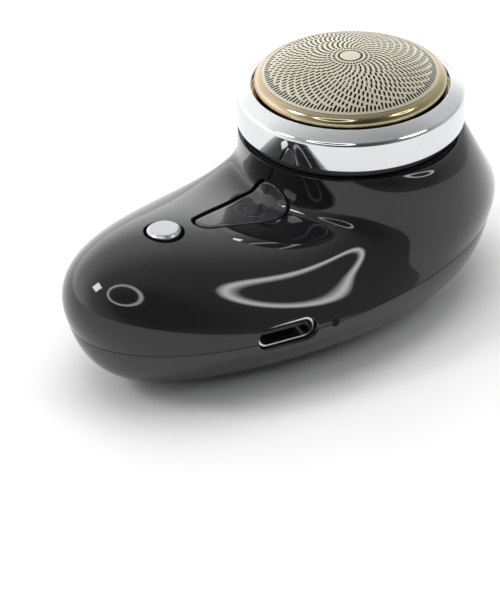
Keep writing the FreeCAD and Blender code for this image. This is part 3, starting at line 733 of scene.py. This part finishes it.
# ---- materials ----
def material(name, colour, roughness, metallic=0.0, tone=0.12, patchy=0.15, grain=900.0, stretch=(1, 1, 1),
             bump=0.0, specular=0.5):
    """Surface whose colour, roughness and height vary with noise. Grain is the fine noise's scale in
    waves to the metre, and stretch draws it out along an axis."""
    made = bpy.data.materials.new(name)
    made.use_nodes = True
    nodes, links = made.node_tree.nodes, made.node_tree.links
    shader = nodes["Principled BSDF"]
    shader.inputs["Metallic"].default_value = metallic
    shader.inputs["Specular IOR Level"].default_value = specular
    place = nodes.new("ShaderNodeTexCoord")
    drawn = nodes.new("ShaderNodeMapping")
    drawn.inputs["Scale"].default_value = stretch
    links.new(place.outputs["Object"], drawn.inputs["Vector"])
    fine = nodes.new("ShaderNodeTexNoise")
    fine.inputs["Scale"].default_value = grain
    fine.inputs["Detail"].default_value = 4.0
    links.new(drawn.outputs["Vector"], fine.inputs["Vector"])
    broad = nodes.new("ShaderNodeTexNoise")
    broad.inputs["Scale"].default_value = 70.0
    links.new(place.outputs["Object"], broad.inputs["Vector"])
    shade = nodes.new("ShaderNodeValToRGB")
    for stop, share in zip(shade.color_ramp.elements, (1 - tone, 1 + tone)):
        stop.color = [min(1.0, c * share) for c in colour] + [1.0]
    shade.color_ramp.elements[0].position = 0.3
    shade.color_ramp.elements[1].position = 0.7
    links.new(fine.outputs["Fac"], shade.inputs["Fac"])
    links.new(shade.outputs["Color"], shader.inputs["Base Color"])
    rough = nodes.new("ShaderNodeMapRange")
    rough.inputs["From Min"].default_value = 0.3
    rough.inputs["From Max"].default_value = 0.7
    rough.inputs["To Min"].default_value = roughness * (1 - patchy)
    rough.inputs["To Max"].default_value = roughness * (1 + patchy)
    links.new(broad.outputs["Fac"], rough.inputs["Value"])
    links.new(rough.outputs["Result"], shader.inputs["Roughness"])
    if bump:
        height = nodes.new("ShaderNodeBump")
        height.inputs["Strength"].default_value = bump
        height.inputs["Distance"].default_value = 0.00005
        links.new(fine.outputs["Fac"], height.inputs["Height"])
        links.new(height.outputs["Normal"], shader.inputs["Normal"])
    return made


def board_material():
    """Green solder mask with lighter copper tracks under it."""
    made = material("board_green", (0.01, 0.1, 0.035), 0.35, grain=2500, bump=0.1)
    nodes, links = made.node_tree.nodes, made.node_tree.links
    shader = nodes["Principled BSDF"]
    mask = shader.inputs["Base Color"].links[0].from_socket
    place = nodes.new("ShaderNodeTexCoord")
    tracks = nodes.new("ShaderNodeTexBrick")
    tracks.inputs["Scale"].default_value = 260.0
    tracks.inputs["Mortar Size"].default_value = 0.06
    tracks.inputs["Color1"].default_value = (0, 0, 0, 1)
    tracks.inputs["Color2"].default_value = (0, 0, 0, 1)
    tracks.inputs["Mortar"].default_value = (1, 1, 1, 1)
    links.new(place.outputs["Object"], tracks.inputs["Vector"])
    mixed = nodes.new("ShaderNodeMix")
    mixed.data_type = "RGBA"
    links.new(tracks.outputs["Color"], mixed.inputs["Factor"])
    links.new(mask, mixed.inputs["A"])
    mixed.inputs["B"].default_value = (0.03, 0.2, 0.07, 1)
    links.new(mixed.outputs["Result"], shader.inputs["Base Color"])
    return made


def winding_material():
    """Enamelled copper wire laid side by side along the motor's axis."""
    made = material("copper_wire", (0.62, 0.2, 0.07), 0.3, metallic=1.0, grain=1500)
    nodes, links = made.node_tree.nodes, made.node_tree.links
    place = nodes.new("ShaderNodeTexCoord")
    turns = nodes.new("ShaderNodeTexWave")
    turns.bands_direction = "X"
    turns.inputs["Scale"].default_value = 1100.0
    links.new(place.outputs["Object"], turns.inputs["Vector"])
    height = nodes.new("ShaderNodeBump")
    height.inputs["Strength"].default_value = 0.8
    height.inputs["Distance"].default_value = 0.0001
    links.new(turns.outputs["Fac"], height.inputs["Height"])
    links.new(height.outputs["Normal"], nodes["Principled BSDF"].inputs["Normal"])
    return made


def gilt_material():
    """Gilt plating whose tone drifts from olive on the charging side to pinkish on the other, and whose
    charging side, the front half, is also painted darker as painted shade.
    """
    made = material("foil_rim", (0.72, 0.56, 0.33), 0.13, metallic=1.0, grain=4000, bump=0.02)
    nodes, links = made.node_tree.nodes, made.node_tree.links
    place = nodes.new("ShaderNodeTexCoord")
    split = nodes.new("ShaderNodeSeparateXYZ")
    links.new(place.outputs["Object"], split.inputs["Vector"])
    tint_and_front_shade = nodes.new("ShaderNodeValToRGB")
    # The darker olive stop on the charging side is partly the plating's tint and partly painted shade on
    # the front of the rim; the pinkish stop is the tint alone.
    tint_and_front_shade.color_ramp.elements[0].color = (0.42, 0.37, 0.21, 1)
    tint_and_front_shade.color_ramp.elements[1].color = (0.58, 0.44, 0.33, 1)
    span = nodes.new("ShaderNodeMapRange")
    span.inputs["From Min"].default_value = -FRAME_R * MM
    span.inputs["From Max"].default_value = FRAME_R * MM
    links.new(split.outputs["Y"], span.inputs["Value"])
    links.new(span.outputs["Result"], tint_and_front_shade.inputs["Fac"])
    links.new(tint_and_front_shade.outputs["Color"], nodes["Principled BSDF"].inputs["Base Color"])
    return made


BRUSHED = (1, 1, 30)      # squeezes the noise along z, into fine rings round an upright part
GROUND = (1, 30, 1)       # squeezes the noise along y, into fine grinding lines
MATERIALS = {
    "gloss_black": material("gloss_black", (0.009, 0.009, 0.0098), 0.045, tone=0.3, grain=3000,
                            specular=0.55),
    "seal_rubber": material("seal_rubber", (0.012, 0.012, 0.013), 0.65, grain=2500, bump=0.3),
    "screw_steel": material("screw_steel", (0.5, 0.5, 0.52), 0.3, 1.0, grain=1500, stretch=BRUSHED,
                            bump=0.1),
    "matte_black": material("matte_black", (0.011, 0.011, 0.012), 0.42, grain=3500, bump=0.25),
    "chrome_trim": material("chrome_trim", (0.72, 0.725, 0.735), 0.06, 1.0, tone=0.02, grain=1200),
    "satin_chrome": material("satin_chrome", (0.52, 0.53, 0.54), 0.26, 1.0, tone=0.03, grain=4000),
    "foil_rim": gilt_material(),
    "foil_steel": material("foil_steel", (0.60, 0.565, 0.455), 0.34, 1.0, tone=0.06, grain=2500, bump=0.06),
    "blade_steel": material("blade_steel", (0.42, 0.42, 0.44), 0.28, 1.0, grain=1200, stretch=GROUND,
                            bump=0.1),
    "drive_black": material("drive_black", (0.010, 0.010, 0.011), 0.38, grain=3000, bump=0.2),
    "motor_steel": material("motor_steel", (0.45, 0.46, 0.48), 0.32, 1.0, grain=900, stretch=BRUSHED,
                            bump=0.12),
    "magnet_grey": material("magnet_grey", (0.03, 0.03, 0.032), 0.6, grain=5000, bump=0.4),
    "copper": winding_material(),
    "bearing_bronze": material("bearing_bronze", (0.45, 0.26, 0.11), 0.45, 1.0, grain=5000, bump=0.4),
    "smoked_lens": material("smoked_lens", (0.028, 0.028, 0.030), 0.04, tone=0.2, grain=2000),
    "lamp_pipe": material("lamp_pipe", (0.004, 0.004, 0.004), 0.5, grain=2000, specular=0.1),
    "icon_print": material("icon_print", (0.075, 0.075, 0.078), 0.25, tone=0.2, grain=2000),
    "clear_plastic": material("clear_plastic", (0.55, 0.57, 0.58), 0.12, tone=0.05, grain=1500),
    "port_steel": material("port_steel", (0.62, 0.63, 0.65), 0.2, 1.0, grain=1500, stretch=BRUSHED,
                           bump=0.08),
    "contact_gold": material("contact_gold", (0.9, 0.62, 0.22), 0.2, 1.0, grain=3000),
    "board_green": board_material(),
    "chip_black": material("chip_black", (0.016, 0.016, 0.017), 0.5, grain=6000, bump=0.3),
    "lamp_white": material("lamp_white", (0.8, 0.76, 0.6), 0.25, tone=0.05, grain=1500),
    "cell_wrap": material("cell_wrap", (0.03, 0.12, 0.3), 0.25, tone=0.06, grain=300, bump=0.15),
    "foam_grey": material("foam_grey", (0.05, 0.05, 0.052), 0.9, tone=0.4, grain=4000, bump=0.8),
    "wire_red": material("wire_red", (0.42, 0.015, 0.01), 0.35, tone=0.08, grain=2000, bump=0.1),
}


# ---- assembly ----
def place(piece, body, finish, nodes=(), look=None):
    """Puts a finished piece on its body, in place of the CAD nodes that it stands for."""
    piece.data.materials.clear()
    piece.data.materials.append(MATERIALS[look or finish])
    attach(piece, body)
    if nodes:
        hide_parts(*nodes)


finishes = {part["node"]: part["material_slot"] for part in frame["record"]["subparts"]}
finishes["charge_light_pipe"] = "lamp_pipe"
for node, solid in frame["nodes"].items():
    for material_slot in solid.material_slots:
        material_slot.material = MATERIALS[finishes[node]]

place(top_casing(), "casing", "gloss_black", ["top_shell"])
place(bottom_casing(), "casing", "gloss_black", ["bottom_shell"])
place(lens(), "casing", "smoked_lens", ["indicator_window"])
for line in power_icon():
    place(line, "casing", "smoked_lens", look="icon_print")
blade, contacts = port_tongue()
place(blade, "casing", "matte_black", ["usb_c_tongue"])
place(contacts, "casing", "matte_black", look="contact_gold")
place(chrome_ring(), "head", "chrome_trim", ["head_ring"])
place(foil_rim(), "foil_unit", "foil_rim", ["foil_frame"])
place(foil_sheet(), "foil_unit", "foil_steel", ["foil"])
place(button_face(), "button", "chrome_trim", ["button_cap"], look="satin_chrome")


# ---- floor, light and camera ----
# Directions are an azimuth and an elevation in degrees.
FRONT = (231.5, 32.4)
HEAD_SIDE = (-40.0, 15.0)
# Brightness of the room from opposite FRONT (0) to FRONT itself (1).
ROOM_LEVELS = ((0.0, 2.0), (0.3, 1.2), (0.5, 1.15), (0.72, 0.55), (0.87, 0.38), (0.95, 0.12), (1.0, 0.08))
# Factor on that brightness, from opposite HEAD_SIDE (0) to HEAD_SIDE itself (1).
SIDE_LEVELS = ((0.0, 1.9), (0.2, 1.2), (0.35, 1.0), (0.6, 1.0), (0.85, 0.6), (1.0, 0.5))
# Azimuth, elevation, angular radius and half width of each ring lamp in degrees, and its brightness.
RING_LAMPS = ((-156.0, 52.0, 17.0, 1.6, 5.0), (-55.0, 44.0, 9.0, 1.4, 20.0))
# Azimuth, elevation and half width of the square lamp in degrees, and its brightness.
SQUARE_LAMP = (150.0, 43.0, 6.0, 14.0)
OVERHEAD_SIZE = 1.0                     # in metres, like its place
OVERHEAD_WATTS = 7.0
OVERHEAD_PLACE = (0.0, 0.1, 1.2)
FLOOR_SIZE = 3000                       # in millimetres, like its height
FLOOR_Z = -0.02


def stage_plane(name, size, z, look):
    """Level square that is part of the stage and not of the object."""
    half = size / 2
    corners = [(-half, -half, z), (half, -half, z), (half, half, z), (-half, half, z)]
    floor = new_object(name, corners, [(0, 1, 2, 3)])
    floor.data.materials.append(look)


def soft_light():
    """Broad overhead light for the floor, which leaves no glare of its own."""
    data = bpy.data.lights.new("overhead", "AREA")
    data.shape = "DISK"
    data.size = OVERHEAD_SIZE
    data.energy = OVERHEAD_WATTS
    lamp = bpy.data.objects.new("overhead", data)
    lamp.location = OVERHEAD_PLACE
    lamp.visible_glossy = False
    bpy.context.scene.collection.objects.link(lamp)


def direction(azimuth, elevation):
    """Unit vector, from an azimuth and an elevation in degrees."""
    a, e = radians(azimuth), radians(elevation)
    return Vector((cos(a) * cos(e), sin(a) * cos(e), sin(e)))


def ramp(nodes, links, value, stops):
    """Grey that follows value from stop to stop, each a (position, brightness)."""
    made = nodes.new("ShaderNodeValToRGB")
    elements = made.color_ramp.elements
    for position, _ in stops[1:-1]:
        elements.new(position)
    for element, (position, level) in zip(elements, stops):
        element.position = position
        element.color = (level, level, level, 1)
    links.new(value, made.inputs["Fac"])
    return made.outputs["Color"]


def room():
    """White room that dims towards the front and the head, with two ring lamps and a square one."""
    world = bpy.data.worlds.new("room")
    bpy.context.scene.world = world
    world.use_nodes = True
    nodes, links = world.node_tree.nodes, world.node_tree.links
    ray = nodes.new("ShaderNodeTexCoord").outputs["Generated"]

    def nearness(towards):
        """Half of one plus the cosine between the ray and a direction: 1 along it, 0 against it."""
        dot = nodes.new("ShaderNodeVectorMath")
        dot.operation = "DOT_PRODUCT"
        links.new(ray, dot.inputs[0])
        dot.inputs[1].default_value = towards
        half = nodes.new("ShaderNodeMath")
        half.operation = "MULTIPLY_ADD"
        half.inputs[1].default_value = 0.5
        half.inputs[2].default_value = 0.5
        links.new(dot.outputs["Value"], half.inputs[0])
        return half.outputs["Value"]

    def within(value, middle, margin):
        """One where the value is no further than margin from middle, and zero elsewhere."""
        band = nodes.new("ShaderNodeMath")
        band.operation = "COMPARE"
        band.inputs[1].default_value = middle
        band.inputs[2].default_value = margin
        links.new(value, band.inputs[0])
        return band.outputs["Value"]

    def combined(operation, first, second):
        """Two colours put together channel by channel."""
        made = nodes.new("ShaderNodeVectorMath")
        made.operation = operation
        links.new(first, made.inputs[0])
        links.new(second, made.inputs[1])
        return made.outputs["Vector"]

    def lit(light, shape, level):
        """Light with a lamp of this shape and brightness added."""
        bright = nodes.new("ShaderNodeVectorMath")
        bright.operation = "SCALE"
        bright.inputs["Scale"].default_value = level
        links.new(shape, bright.inputs[0])
        return combined("ADD", light, bright.outputs["Vector"])

    def level_at(degrees):
        """Nearness to a direction, at this angle from it."""
        return (1 + cos(radians(degrees))) / 2

    light = combined("MULTIPLY", ramp(nodes, links, nearness(direction(*FRONT)), ROOM_LEVELS),
                     ramp(nodes, links, nearness(direction(*HEAD_SIDE)), SIDE_LEVELS))
    for azimuth, elevation, radius, band, level in RING_LAMPS:
        edges = [level_at(radius + step * band) for step in (1.0, 0.6, -0.6, -1.0)]
        stops = [(0.0, 0.0)] + [(edge, share) for edge, share in zip(edges, (0, 1, 1, 0))]
        light = lit(light, ramp(nodes, links, nearness(direction(azimuth, elevation)), stops), level)
    azimuth, elevation, half_width, level = SQUARE_LAMP
    middle = direction(azimuth, elevation)
    across = direction(azimuth + 90, 0)
    margin = sin(radians(half_width)) / 2
    square = within(nearness(middle), 1.0, 0.5)      # only the half of the room that it is in
    for side in (across, middle.cross(across)):
        square = combined("MULTIPLY", square, within(nearness(side), 0.5, margin))
    links.new(lit(light, square, level), nodes["Background"].inputs["Color"])


CAMERA_AIM = Vector((-6.70, -0.24, 5.04)) * MM
CAMERA_SIDE = (231.46, 32.40)
CAMERA_ROLL = radians(-1.68)
CAMERA_DISTANCE = 0.420
CAMERA_LENS = 168.2
CAMERA_SENSOR = 36.0


def camera():
    """Long lens that looks down on the charging side from beyond the tail."""
    data = bpy.data.cameras.new("camera")
    data.lens = CAMERA_LENS
    data.sensor_width = CAMERA_SENSOR
    eye = bpy.data.objects.new("camera", data)
    back = direction(*CAMERA_SIDE)
    roll = Matrix.Rotation(CAMERA_ROLL, 3, "Z").to_quaternion()
    eye.rotation_mode = "QUATERNION"
    eye.rotation_quaternion = back.to_track_quat("Z", "Y") @ roll
    eye.location = CAMERA_AIM + back * CAMERA_DISTANCE
    bpy.context.scene.collection.objects.link(eye)
    bpy.context.scene.camera = eye


floor_look = material("floor_white", (0.82, 0.82, 0.82), 0.7, tone=0.01, grain=20)
stage_plane("floor", FLOOR_SIZE, FLOOR_Z, floor_look)
room()
soft_light()
camera()
bpy.context.scene.view_settings.view_transform = "Standard"
